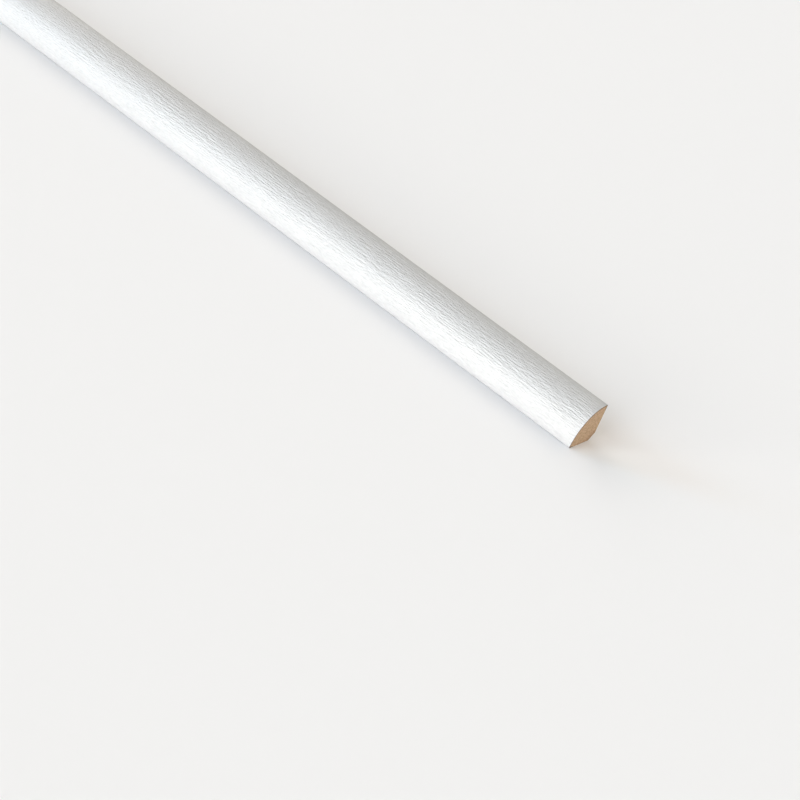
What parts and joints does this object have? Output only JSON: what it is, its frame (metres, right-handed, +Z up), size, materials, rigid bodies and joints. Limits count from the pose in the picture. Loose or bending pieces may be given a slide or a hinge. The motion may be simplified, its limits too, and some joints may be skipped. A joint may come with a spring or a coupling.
{
  "type": "quarter round moulding",
  "caption": "Straight quarter round moulding: fibreboard bar with two flat backs, a relieved back corner and a silver-white embossed foil over its round face.",
  "frame": {"origin": "on the floor, under the middle of the bar's length and width, with the bar lying on one flat back", "axes": "+X along the stock to the cut end that the picture shows, +Y to the wall side (the upright flat back), +Z up"},
  "size_m": [2.4, 0.018, 0.018],
  "materials": {
    "fibreboard": "matte",
    "foil": "satin"
  },
  "bodies": {
    "root": {"mdf_core": "fibreboard", "foil_wrap": "foil"}
  },
  "joints": []
}
